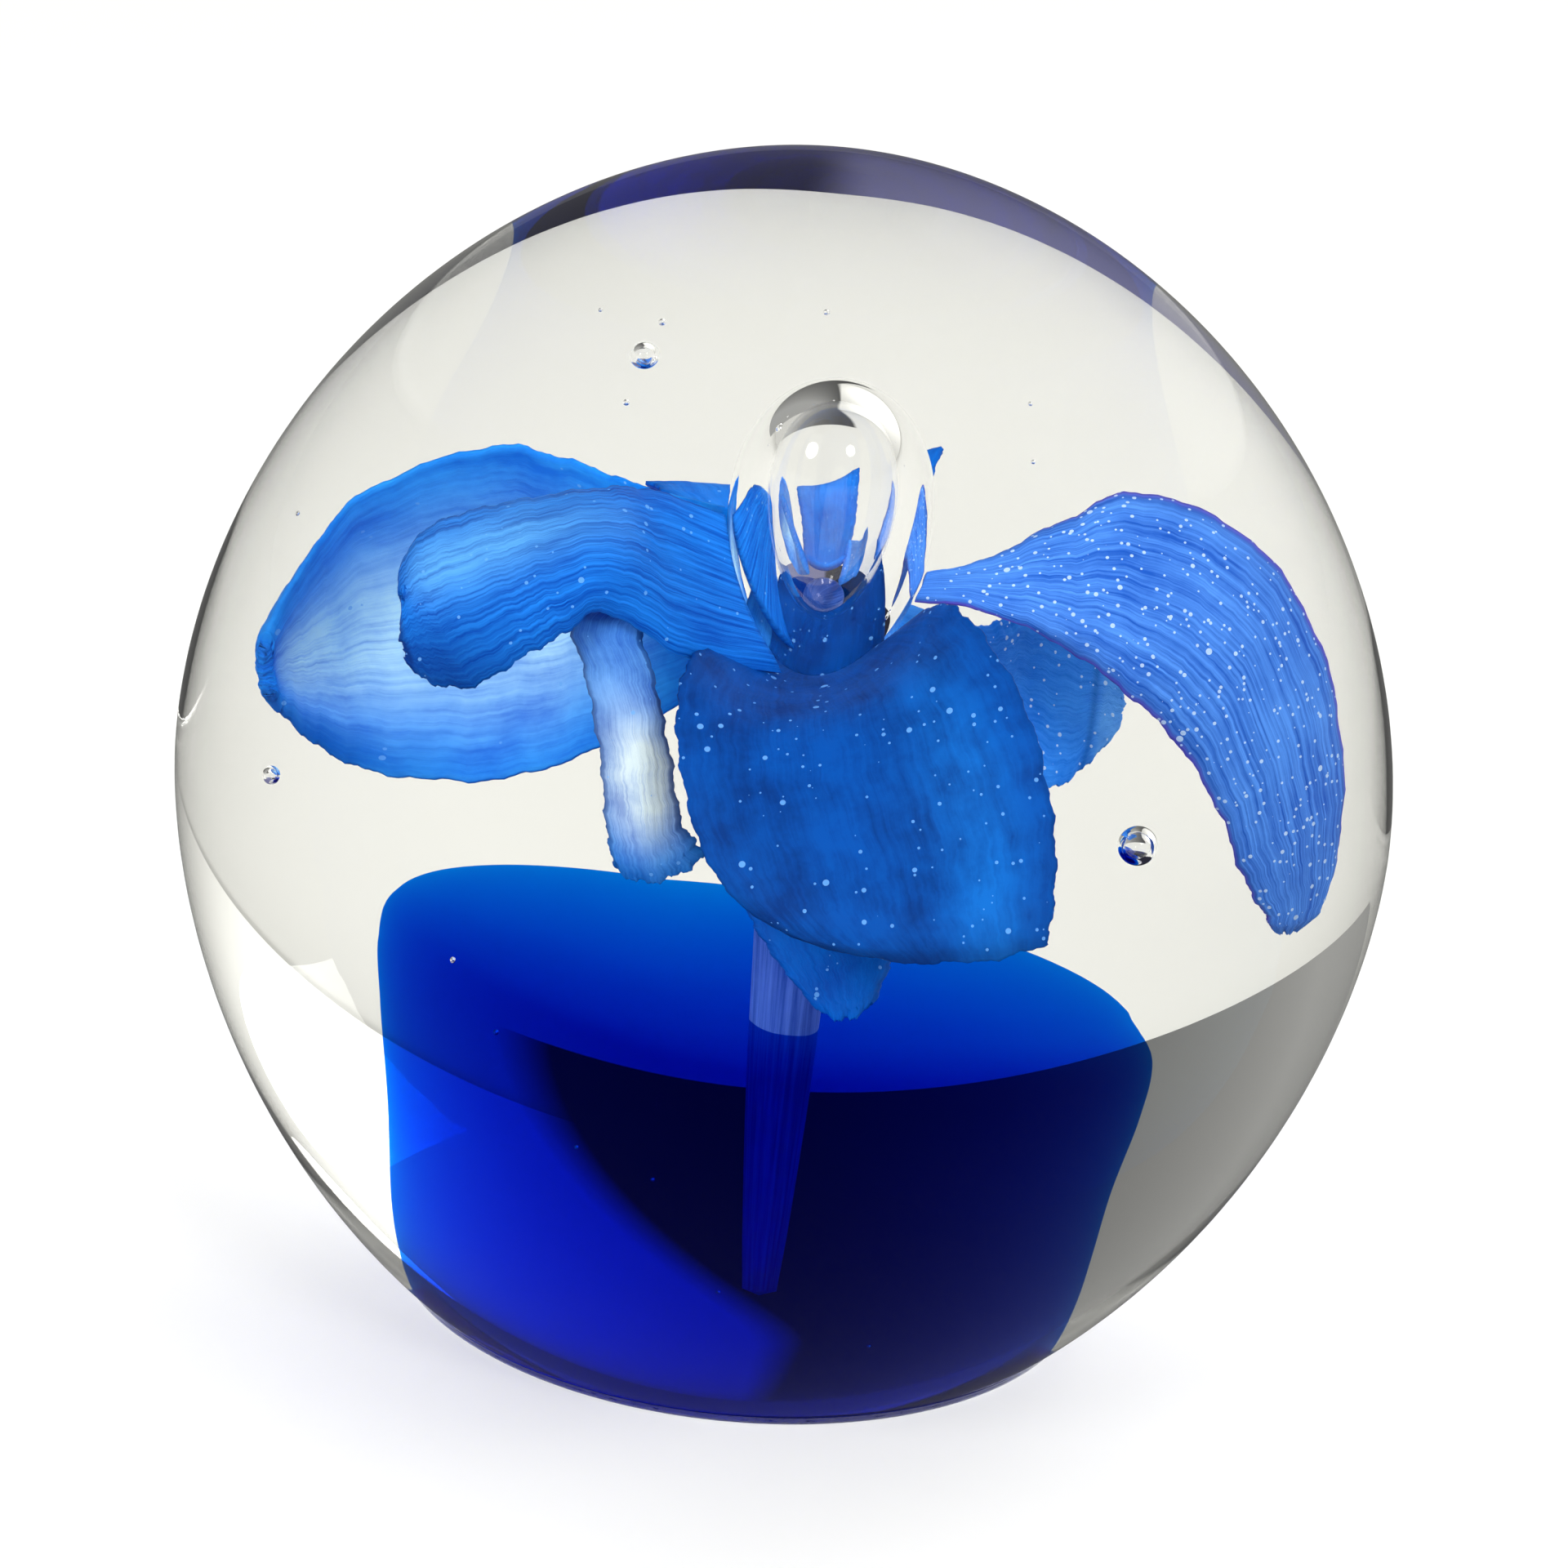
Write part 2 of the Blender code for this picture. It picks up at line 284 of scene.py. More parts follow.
def enamel(name, deep, mid, pale, streak, speck, fine, speck_glint_colour=BLUE_SPECK_GLINT):
    """Opaque blue enamel: drawn streaks along the petal, clouds, a pale and a deep zone and specks. The
    specks are tiny bubbles, and their pale colour is a painted glint.

    streak is the share of streaks against clouds; speck and fine are the shares of cells with a speck.
    """
    material, nodes, links, shader = material_base(name)
    where = nodes.new("ShaderNodeTexCoord")
    stretch = nodes.new("ShaderNodeMapping")
    stretch.inputs["Scale"].default_value = (2.2, 22.0, 1.0)
    links.new(where.outputs["UV"], stretch.inputs["Vector"])
    streaks = nodes.new("ShaderNodeTexNoise")
    streaks.inputs["Scale"].default_value = 1.7
    streaks.inputs["Detail"].default_value = 8.0
    streaks.inputs["Roughness"].default_value = 0.66
    streaks.inputs["Distortion"].default_value = 0.25
    links.new(stretch.outputs[0], streaks.inputs["Vector"])
    clouds = nodes.new("ShaderNodeTexNoise")
    clouds.inputs["Scale"].default_value = 320.0
    clouds.inputs["Detail"].default_value = 5.0
    clouds.inputs["Roughness"].default_value = 0.6
    links.new(where.outputs["Object"], clouds.inputs["Vector"])
    zones = nodes.new("ShaderNodeAttribute")
    zones.attribute_name = "zones"
    split = nodes.new("ShaderNodeSeparateColor")
    links.new(zones.outputs["Color"], split.inputs[0])
    pattern = math_node(nodes, links, "MULTIPLY", clouds.outputs["Fac"], 1 - streak)
    pattern = math_node(nodes, links, "MULTIPLY_ADD", streaks.outputs["Fac"], streak, pattern)
    spread = nodes.new("ShaderNodeMapRange")
    spread.inputs["From Min"].default_value = 0.38
    spread.inputs["From Max"].default_value = 0.60
    links.new(pattern, spread.inputs["Value"])
    contrast = spread.outputs["Result"]
    body = mix_colour(nodes, links, contrast, deep, mid)
    lift = math_node(nodes, links, "MULTIPLY_ADD", contrast, 0.7, 0.45)
    lift = math_node(nodes, links, "MULTIPLY", lift, split.outputs[0])
    body = mix_colour(nodes, links, math_node(nodes, links, "MINIMUM", lift, 1.0), body, pale)
    body = mix_colour(nodes, links, split.outputs[1], body, tuple(c * 0.55 for c in deep))
    body = mix_colour(nodes, links, split.outputs[2], body, VIOLET)
    small = seed_speck_glints(nodes, links, where.outputs["Object"], *FINE_SPECKS, fine)
    large = seed_speck_glints(nodes, links, where.outputs["Object"], *LARGE_SPECKS, speck)
    specks = math_node(nodes, links, "MAXIMUM", small, large)
    cover = math_node(nodes, links, "MULTIPLY", specks, SPECK_GLINT_STRENGTH)
    # Painted glint: the specks take a pale colour that stands for light caught on tiny bubbles.
    body = mix_colour(nodes, links, cover, body, speck_glint_colour)
    links.new(body, shader.inputs["Base Color"])
    shader.inputs["Roughness"].default_value = 0.55
    shader.inputs["Specular IOR Level"].default_value = 0.1
    bump = nodes.new("ShaderNodeBump")
    bump.inputs["Strength"].default_value = 0.35
    bump.inputs["Distance"].default_value = 0.3 * MM
    links.new(pattern, bump.inputs["Height"])
    links.new(bump.outputs[0], shader.inputs["Normal"])
    return material


def make_piece(name, points, faces, material, uvs=None, flip=False, zones=None):
    mesh = bpy.data.meshes.new(name)
    mesh.from_pydata([tuple(float(c) * MM for c in p) for p in points], [], faces)
    if zones is not None:
        layer = mesh.attributes.new("zones", "FLOAT_COLOR", "POINT")
        layer.data.foreach_set("color", np.array(zones, np.float32).ravel())
    if uvs is not None:
        layer = mesh.uv_layers.new(name="along_across")
        for loop in mesh.loops:
            layer.data[loop.index].uv = uvs[loop.vertex_index]
    obj = bpy.data.objects.new(name, mesh)
    bpy.context.scene.collection.objects.link(obj)
    work = bmesh.new()
    work.from_mesh(mesh)
    bmesh.ops.recalc_face_normals(work, faces=work.faces)
    if flip:
        bmesh.ops.reverse_faces(work, faces=work.faces)
    work.to_mesh(mesh)
    work.free()
    mesh.shade_smooth()
    mesh.materials.append(material)
    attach(obj, "root")
    return obj


def turned_mesh(outline, segments, centre_x=0.0):
    """Points and faces of a solid of revolution that starts and ends on its axis."""
    points = [(centre_x, 0.0, outline[0][1])]
    for radius, height in outline[1:-1]:
        for i in range(segments):
            angle = 2 * math.pi * i / segments
            points.append((centre_x + radius * math.cos(angle), radius * math.sin(angle), height))
    points.append((centre_x, 0.0, outline[-1][1]))
    last = len(points) - 1
    faces = []
    for i in range(segments):
        j = (i + 1) % segments
        faces.append((0, 1 + j, 1 + i))
        faces.append((last, last - segments + i, last - segments + j))
        for ring in range(len(outline) - 3):
            low = 1 + ring * segments
            faces.append((low + i, low + j, low + segments + j, low + segments + i))
    return points, faces


def body_radius(height):
    rise = height - EQUATOR_HEIGHT
    reach, power = (CROWN_HEIGHT, CROWN_POWER) if rise >= 0 else (TAIL_HEIGHT, TAIL_POWER)
    return BODY_RADIUS * max(0.0, 1 - (abs(rise) / reach) ** power) ** (1 / power)


def body_outline():
    foot = body_radius(FOOT_ROUND)
    outline = [(0.0, 0.0)]
    outline += [(foot * share, 0.0) for share in FOOT_RINGS]
    inner = foot - FOOT_ROUND
    for i in range(FOOT_ROUND_STEPS + 1):
        turn = math.pi / 2 * i / FOOT_ROUND_STEPS
        outline.append((inner + FOOT_ROUND * math.sin(turn), FOOT_ROUND * (1 - math.cos(turn))))
    for i in range(1, TAIL_RINGS):
        height = FOOT_ROUND + (EQUATOR_HEIGHT - FOOT_ROUND) * i / TAIL_RINGS
        outline.append((body_radius(height), height))
    for i in range(CROWN_RINGS):
        height = EQUATOR_HEIGHT + CROWN_HEIGHT * math.sin(math.pi / 2 * i / CROWN_RINGS)
        outline.append((body_radius(height), height))
    outline.append((0.0, EQUATOR_HEIGHT + CROWN_HEIGHT))
    return outline


def bubble_radius(height):
    turn = math.acos(max(-1.0, min(1.0, (height - BUBBLE_HEIGHT) / BUBBLE_HALF_HEIGHT)))
    return BUBBLE_RADIUS * math.sin(turn) * (1 + BUBBLE_EGG * math.cos(turn))


def bubble_outline():
    outline = []
    for i in range(BUBBLE_RINGS + 1):
        turn = math.pi * (1 - i / BUBBLE_RINGS)
        height = BUBBLE_HEIGHT + BUBBLE_HALF_HEIGHT * math.cos(turn)
        outline.append((bubble_radius(height), height))
    outline[0] = (0.0, outline[0][1])
    outline[-1] = (0.0, outline[-1][1])
    return outline


def on_bubble(angle, height):
    """A point just off the bubble's wall, at an angle round it."""
    reach = bubble_radius(height) + ROOT_CLEARANCE
    turn = math.radians(angle)
    return (FLOWER_X + reach * math.cos(turn), reach * math.sin(turn), height)


def spline(controls, amount):
    """The point at a share of the way along the Catmull-Rom curve through the controls."""
    count = len(controls) - 1
    place = amount * count
    i = min(int(place), count - 1)
    t = place - i
    p1, p2 = controls[i], controls[i + 1]
    p0 = controls[i - 1] if i > 0 else 2 * p1 - p2
    p3 = controls[i + 2] if i + 2 <= count else 2 * p2 - p1
    b = p2 - p0
    c = 2 * p0 - 5 * p1 + 4 * p2 - p3
    d = 3 * p1 - p0 - 3 * p2 + p3
    return p1 + (b * t + c * t * t + d * t ** 3) / 2


def smooth_outline(outline, steps=8):
    """The outline as a smooth curve through its points."""
    controls = np.array(outline, float)
    count = (len(controls) - 1) * steps
    curve = [spline(controls, k / count) for k in range(count + 1)]
    return [(max(0.0, float(radius)), float(height)) for radius, height in curve]


def wave(x, seed):
    """Smooth repeatable wobble between about -1 and 1."""
    return (np.sin(x + seed) + 0.6 * np.sin(x * 2.3 + seed * 1.7) + 0.35 * np.sin(x * 5.1 + seed * 2.9)
            + 0.25 * np.sin(x * 11.7 + seed * 4.3)) / 2.2


def bump_at(x, centre, width):
    return np.exp(-((x - centre) / width) ** 2)


def sheet_faces(rows, columns):
    """Faces of a closed sheet: the grid on top, the grid below it and the wall round their rims."""
    across = columns + 1
    count = (rows + 1) * across
    start = (np.arange(rows)[:, None] * across + np.arange(columns)[None, :]).ravel()
    quads = np.stack([start, start + 1, start + across + 1, start + across], 1)
    faces = quads.tolist() + (quads[:, ::-1] + count).tolist()
    rim = list(range(across))
    rim += [i * across + columns for i in range(1, rows + 1)]
    rim += [rows * across + j for j in range(columns - 1, -1, -1)]
    rim += [i * across for i in range(rows - 1, 0, -1)]
    faces += [[q, p, count + p, count + q] for p, q in zip(rim, rim[1:] + rim[:1])]
    return faces


def petal_sheet(stations, u, v, seed, notches):
    """The petal's middle surface over u (root to tip) and v (edge to edge), frayed along its free edges."""
    curves = (np.array([station[k] for station in stations], float) for k in range(3))
    edge_a, middle, edge_b = (np.array([spline(curve, t) for t in u]) for curve in curves)
    width = np.linalg.norm(edge_b - edge_a, axis=1)
    free = np.minimum(1, u * 5)
    low = PETAL_FRAY * wave(u * 60, seed) / width * free
    high = PETAL_FRAY * wave(u * 55, seed + 2) / width * free
    w = (low[:, None] + (1 + high - low)[:, None] * v[None, :])[..., None]
    grid = (edge_a[:, None] * (1 - w) * (1 - 2 * w) + middle[:, None] * 4 * w * (1 - w)
            + edge_b[:, None] * w * (2 * w - 1))
    end = grid[-1] - grid[-4]
    end /= np.maximum(np.linalg.norm(end, axis=1, keepdims=True), 1e-6)
    push = PETAL_FRAY * 1.5 * wave(v * 20, seed + 4)
    for centre, depth, span in notches:
        push = push - depth * bump_at(v, centre, span)
    for k in range(TIP_ROWS):
        grid[-1 - k] += end * (push * (1 - k / TIP_ROWS))[:, None]
    return grid


def petal(name, stations, material, zone, notches=(), seed=1.0, violet=0.0):
    """A thin ridged petal through stations of (edge, middle, edge) points, tapered at its rim."""
    u = np.linspace(0, 1, PETAL_ROWS + 1)
    v = np.linspace(0, 1, PETAL_COLUMNS + 1)
    grid = petal_sheet(stations, u, v, seed, notches)
    normal = np.cross(np.gradient(grid, axis=0), np.gradient(grid, axis=1))
    normal /= np.maximum(np.linalg.norm(normal, axis=2, keepdims=True), 1e-9)
    uu, vv = np.meshgrid(u, v, indexing="ij")
    relief = PETAL_RIDGES * wave(vv * 70 + 3 * wave(uu * 4, seed), seed + 1) * np.minimum(1, uu * 4)
    grid = grid + normal * relief[..., None]
    rim = np.minimum(np.minimum(vv, 1 - vv) * 9, (1 - uu) * 16)
    half = PETAL_THICKNESS / 2 * np.sqrt(np.clip(rim, PETAL_RIM, 1))
    top = grid + normal * half[..., None]
    bottom = grid - normal * half[..., None]
    points = np.concatenate([top.reshape(-1, 3), bottom.reshape(-1, 3)])
    pale, deep = zone(uu, vv)
    rim_light = violet * np.clip(1 - np.minimum(vv, 1 - vv) * 30, 0, 1)
    mask = np.stack([pale, deep, rim_light, 1 + 0 * uu], -1).clip(0, 1).reshape(-1, 4)
    uv = np.stack([uu, vv], -1).reshape(-1, 2).tolist()
    return make_piece(name, points, sheet_faces(PETAL_ROWS, PETAL_COLUMNS), material,
                      uv + uv, zones=np.concatenate([mask, mask]))


# Each petal: stations from its root to its tip, each the two edges with the middle between them.
PETALS = {
    "front": [
        (on_bubble(-158, 43.2), on_bubble(-92, 41.7), on_bubble(-28, 44.0)),
        ((-4.8, -6.6, 44.7), (1.4, -4.4, 42.3), (6.7, -5.6, 48.3)),
        ((-5.5, -9.5, 42.8), (2.2, -9.3, 43.0), (9.2, -8.5, 48.1)),
        ((-5.0, -12.0, 40.3), (3.3, -13.2, 40.9), (12.1, -12.0, 45.4)),
        ((-3.7, -14.5, 37.4), (5.0, -16.2, 37.9), (13.9, -14.5, 41.0)),
        ((-1.6, -16.0, 35.3), (6.1, -18.0, 35.7), (14.5, -16.5, 37.7)),
        ((1.2, -17.0, 34.1), (8.0, -18.5, 33.8), (14.4, -17.5, 34.9)),
    ],
    "right": [
        (on_bubble(4, 47.0), on_bubble(-4, 46.6), on_bubble(-12, 46.0)),
        ((7.8, 2.0, 47.0), (8.0, 0.2, 46.6), (8.0, -1.0, 46.0)),
        ((11.2, 4.0, 48.5), (11.8, 0.4, 47.1), (12.1, -1.0, 44.5)),
        ((14.6, 6.0, 49.5), (15.5, 1.0, 46.8), (15.3, -1.0, 42.3)),
        ((20.4, 6.0, 47.4), (19.6, 1.8, 44.1), (17.6, 0.0, 39.5)),
        ((23.7, 6.0, 42.1), (21.7, 2.4, 39.3), (19.4, 1.0, 35.9)),
        ((24.3, 6.0, 35.6), (22.6, 3.2, 34.2), (20.3, 2.0, 32.5)),
        ((23.5, 5.5, 31.1), (22.5, 4.2, 30.8), (21.0, 3.0, 30.5)),
        ((22.5, 5.0, 29.5), (21.9, 4.5, 29.2), (21.3, 4.0, 29.3)),
    ],
    "back_right": [
        (on_bubble(56, 44.4), on_bubble(45, 42.8), on_bubble(34, 41.8)),
        ((7.4, 7.0, 41.3), (7.6, 6.5, 38.6), (7.9, 5.0, 36.8)),
        ((9.0, 9.0, 41.1), (9.1, 8.5, 37.8), (9.4, 6.0, 35.0)),
        ((10.6, 11.0, 39.6), (10.8, 9.5, 36.7), (11.0, 7.0, 33.8)),
        ((12.0, 12.0, 37.9), (12.1, 11.0, 36.2), (12.3, 9.0, 34.5)),
        ((12.8, 12.2, 36.5), (12.8, 12.0, 35.6), (12.7, 11.4, 34.9)),
    ],
    "back": [
        (on_bubble(140, 43.4), on_bubble(95, 42.2), on_bubble(50, 43.4)),
        ((-3.3, 6.0, 43.7), (0.8, 6.0, 42.9), (4.4, 6.0, 44.1)),
        ((-4.9, 8.0, 45.0), (0.4, 8.5, 44.1), (4.6, 8.0, 46.1)),
        ((-6.6, 11.0, 44.7), (0.2, 11.0, 45.2), (5.1, 11.0, 47.9)),
        ((-5.6, 13.2, 42.0), (0.2, 13.6, 43.4), (4.6, 13.2, 45.0)),
    ],
    "back_left": [
        (on_bubble(165, 49.0), on_bubble(152, 45.4), on_bubble(140, 42.2)),
        ((-7.1, 6.5, 46.9), (-6.2, 7.0, 41.2), (-5.0, 5.0, 36.6)),
        ((-10.1, 9.0, 46.5), (-8.9, 11.0, 38.3), (-8.4, 7.0, 33.2)),
        ((-13.4, 10.0, 46.2), (-11.8, 13.5, 36.4), (-11.6, 9.0, 30.9)),
        ((-17.6, 12.0, 42.2), (-15.5, 15.0, 34.4), (-15.5, 10.0, 30.3)),
        ((-19.4, 12.0, 38.8), (-17.8, 14.0, 33.7), (-17.6, 11.0, 30.6)),
        ((-20.3, 12.0, 35.7), (-19.6, 12.8, 33.4), (-19.0, 12.0, 31.4)),
        ((-20.4, 12.0, 34.0), (-20.2, 12.2, 33.1), (-19.9, 12.0, 32.3)),
    ],
    "left": [
        ((-3.9, -1.0, 49.8), (-2.9, -2.6, 46.2), (-0.6, -3.2, 42.6)),
        ((-7.4, -1.0, 50.8), (-6.3, -4.5, 48.1), (-5.2, -6.0, 44.2)),
        ((-10.1, -1.5, 50.9), (-9.5, -6.5, 50.2), (-9.5, -7.5, 47.0)),
        ((-13.7, -2.0, 50.2), (-13.1, -7.0, 49.2), (-11.4, -8.0, 45.8)),
        ((-16.7, -3.0, 49.8), (-15.9, -7.4, 48.0), (-13.4, -8.5, 44.5)),
        ((-18.9, -4.0, 49.2), (-18.5, -7.6, 46.9), (-15.6, -8.5, 42.7)),
        ((-19.9, -5.0, 47.9), (-19.5, -7.5, 46.3), (-17.8, -8.5, 42.6)),
        ((-19.7, -5.5, 47.2), (-20.0, -7.5, 45.3), (-19.3, -8.3, 43.4)),
    ],
    "front_left": [
        (on_bubble(-172, 44.4), on_bubble(-160, 43.4), on_bubble(-148, 42.6)),
        ((-5.0, -2.2, 44.8), (-4.4, -3.4, 44.6), (-3.2, -4.0, 43.2)),
        ((-10.4, -4.8, 45.2), (-9.0, -5.6, 45.7), (-7.2, -5.6, 45.4)),
        ((-9.7, -5.8, 42.4), (-8.1, -6.8, 42.8), (-6.4, -6.2, 42.4)),
        ((-8.7, -6.8, 39.0), (-7.1, -7.8, 39.3), (-5.4, -7.0, 39.1)),
        ((-8.1, -7.8, 35.8), (-6.4, -8.8, 36.0), (-4.6, -8.2, 36.4)),
        ((-7.5, -8.0, 33.7), (-5.5, -8.9, 33.5), (-3.2, -8.7, 35.1)),
    ],
    "front_under": [
        ((-0.6, -2.5, 38.6), (0.8, -3.0, 38.4), (2.2, -2.5, 38.6)),
        ((-1.6, -6.0, 35.8), (1.6, -6.8, 35.8), (4.8, -6.0, 35.8)),
        ((-1.4, -9.0, 33.2), (2.4, -9.8, 32.7), (6.0, -9.0, 33.0)),
        ((0.2, -10.4, 31.0), (3.2, -10.9, 30.7), (6.0, -10.2, 31.4)),
        ((2.4, -11.6, 29.0), (4.1, -12.0, 28.6), (5.4, -11.6, 29.7)),
    ],
}


# Zones: how pale and how deep the enamel is, along (u) and across (v) the petal.
def plain_zone(u, v):
    return 0.0 * u, 0.4 * np.clip(1 - np.minimum(v, 1 - v) * 14, 0, 1)


def back_left_zone(u, v):
    inner = bump_at(v, 0.52, 0.27) * np.clip((u - 0.12) * 5, 0, 1) * np.clip((0.93 - u) * 8, 0, 1)
    rim = np.clip(1 - (1 - v) * 6, 0, 1) * np.clip((u - 0.45) * 4, 0, 1)
    return inner * 1.1, rim


def left_zone(u, v):
    lit = bump_at(v, 0.3, 0.2) * np.clip((u - 0.2) * 4, 0, 1) * np.clip((0.9 - u) * 5, 0, 1)
    tip = np.clip((v - 0.5) * 3, 0, 1) * np.clip((u - 0.5) * 4, 0, 1) + np.clip((u - 0.93) * 12, 0, 1)
    return lit * 0.8, 0.75 * tip


def front_left_zone(u, v):
    cream = bump_at(u, 0.72, 0.13) * bump_at(v, 0.55, 0.45)
    return 1.3 * cream + 0.12 * bump_at(u, 0.5, 0.2), 0.8 * np.clip(1 - np.minimum(v, 1 - v) * 7, 0, 1)


def back_right_zone(u, v):
    return 0.35 * np.clip((u - 0.74) * 20, 0, 1), 0.5 * bump_at(u, 0.735, 0.02)


def front_zone(u, v):
    return 0.35 * bump_at(v, 0.8, 0.12) * np.clip((u - 0.2) * 3, 0, 1), 0.35 * bump_at(u, 0.98, 0.04)


# Each petal's enamel: deep, middle and pale; then streak share, large specks, fine specks.
ENAMELS = {
    "front": ((0.0, 0.03, 0.2), (0.0, 0.07, 0.38), (0.01, 0.24, 0.85), 0.35, 0.55, 0.2),
    "right": ((0.01, 0.09, 0.52), (0.09, 0.3, 0.92), (0.2, 0.45, 0.98), 0.75, 0.35, 0.95, WHITE_SPECK_GLINT),
    "back_right": ((0.01, 0.17, 0.75), (0.04, 0.3, 0.95), (0.2, 0.55, 1.0), 0.5, 0.2, 0.8, WHITE_SPECK_GLINT),
    "back": ((0.0, 0.11, 0.6), (0.01, 0.22, 0.85), (0.05, 0.35, 0.95), 0.5, 0.1, 0.1),
    "back_left": ((0.0, 0.15, 0.75), (0.01, 0.32, 1.0), (0.5, 0.82, 1.0), 0.5, 0.04, 0.05),
    "left": ((0.0, 0.06, 0.42), (0.01, 0.2, 0.8), (0.12, 0.42, 0.9), 0.9, 0.15, 0.1),
    "front_left": ((0.0, 0.1, 0.5), (0.03, 0.26, 0.8), (0.62, 0.74, 0.8), 0.4, 0.08, 0.1),
    "front_under": ((0.0, 0.06, 0.4), (0.0, 0.12, 0.6), (0.04, 0.24, 0.85), 0.4, 0.4, 0.2),
}
STEM_ENAMEL = ((0.02, 0.08, 0.45), (0.1, 0.22, 0.75), (0.3, 0.45, 0.9), 0.8, 0, 0)

# How each petal is worked: its zones, notches in its tip (place across, depth, span) and a violet edge.
WORKING = {
    "front": {"zone": front_zone},
    "right": {"zone": plain_zone, "violet": 0.8},
    "back_right": {"zone": back_right_zone},
    "back": {"zone": plain_zone},
    "back_left": {"zone": back_left_zone},
    "left": {"zone": left_zone, "notches": ((0.36, 2.0, 0.06), (0.0, 0.8, 0.12))},
    "front_left": {"zone": front_left_zone},
    "front_under": {"zone": plain_zone},
}


def build_body():
    points, faces = turned_mesh(body_outline(), BODY_SEGMENTS)
    crystal = clear_glass("clear_crystal", CRYSTAL_GLINT, CRYSTAL_TINT_AND_SHADE, CRYSTAL_PASSES, ground_foot=True)
    body = make_piece("crystal_ball", points, faces, crystal)
    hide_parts("clear_body")
    inside = clear_glass("bubble_wall", 1.0, (1.0, 1.0, 1.0), BUBBLE_PASSES)
    points, faces = turned_mesh(bubble_outline(), BUBBLE_SEGMENTS, FLOWER_X)
    make_piece("heart_bubble", points, faces, inside, flip=True)
    points, faces = seed_mesh()
    make_piece("seed_bubbles", points, faces, inside, flip=True)


def seed_mesh():
    """All the seed bubbles as one mesh of small spheres."""
    points, faces = [], []
    for radius, centre in SEEDS:
        turns = [math.pi * i / SEED_RINGS for i in range(SEED_RINGS + 1)]
        outline = [(radius * math.sin(turn), -radius * math.cos(turn)) for turn in turns]
        sphere, sides = turned_mesh(outline, SEED_SEGMENTS)
        start = len(points)
        points += [tuple(Vector(point) + Vector(centre)) for point in sphere]
        faces += [tuple(start + k for k in side) for side in sides]
    return points, faces


def tilted(points):
    """The slug's top sits a little higher on the left and at the front."""
    moved = []
    for x, y, z in points:
        share = min(max((z - TILT_FROM) / TILT_SPAN, 0), 1)
        lip = LIP_RISE * max(-x - LIP_FROM, 0)
        moved.append((x, y, z + share * (lip - TILT_LEFT * x - TILT_FRONT * y)))
    return moved


def build_base():
    points, faces = turned_mesh(smooth_outline(BASE_OUTLINE), BASE_SEGMENTS)
    base = make_piece("cobalt_slug", tilted(points), faces, cobalt_glass("cobalt_glass"))
    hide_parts("cobalt_base")


def build_flower():
    for index, (name, stations) in enumerate(PETALS.items()):
        piece = petal("petal_" + name + "_glass", stations, enamel("enamel_" + name, *ENAMELS[name]),
                      seed=1.0 + index * 3, **WORKING[name])
        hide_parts("petal_" + name)
    points, faces = turned_mesh(STEM_OUTLINE, STEM_SEGMENTS, FLOWER_X)
    uvs = [(z / STEM_STREAK_LENGTH, math.atan2(y, x - FLOWER_X) / ONCE_ROUND) for x, y, z in points]
    piece = make_piece("stem_thread", points, faces, enamel("enamel_stem", *STEM_ENAMEL), uvs)
    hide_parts("flower_stem")


FLOOR_COLOUR = (0.88, 0.88, 0.87)
FLOOR_RADIUS = 3000
FLOOR_DROP = 0.1
FLOOR_SIDES = 64
# The studio is dim where it would only mirror in the glass, as behind black flags. The world's light is
# dimmed there, and the floor's colour is painted darker, a painted shade in its mirror image.
MIRROR_DIM = 0.1


def mirror_ray(nodes, links):
    """1 on a ray that polished glass has just mirrored, else 0."""
    path = nodes.new("ShaderNodeLightPath")
    return math_node(nodes, links, "MULTIPLY", path.outputs["Is Reflection Ray"],
                     path.outputs["Is Singular Ray"])


def stage_mesh(name, points, faces):
    mesh = bpy.data.meshes.new(name)
    mesh.from_pydata([tuple(c * MM for c in point) for point in points], [], faces)
    item = bpy.data.objects.new(name, mesh)
    bpy.context.scene.collection.objects.link(item)
    return item


def only_through_glass(item):
    """Hide a stage object from everything but rays that have gone through glass."""
    item.visible_camera = False
    item.visible_shadow = False
    item.visible_diffuse = False
    item.visible_glossy = False


def stage_material(name):
    """An empty material, its output and where its surface is: x, y and z in metres."""
    material = bpy.data.materials.new(name)
    material.use_nodes = True
    nodes, links = material.node_tree.nodes, material.node_tree.links
    place = nodes.new("ShaderNodeNewGeometry")
    split = nodes.new("ShaderNodeSeparateXYZ")
    links.new(place.outputs["Position"], split.inputs[0])
    return material, nodes, links, nodes["Material Output"].inputs["Surface"], split.outputs


def ramp(nodes, links, value, start, end, low=0.0, high=1.0, smooth=False):
    """low to high as value goes from start to end."""
    node = nodes.new("ShaderNodeMapRange")
    if smooth:
        node.interpolation_type = "SMOOTHSTEP"
    for name, amount in (("From Min", start), ("From Max", end), ("To Min", low), ("To Max", high)):
        node.inputs[name].default_value = amount
    links.new(value, node.inputs["Value"])
    return node.outputs["Result"]


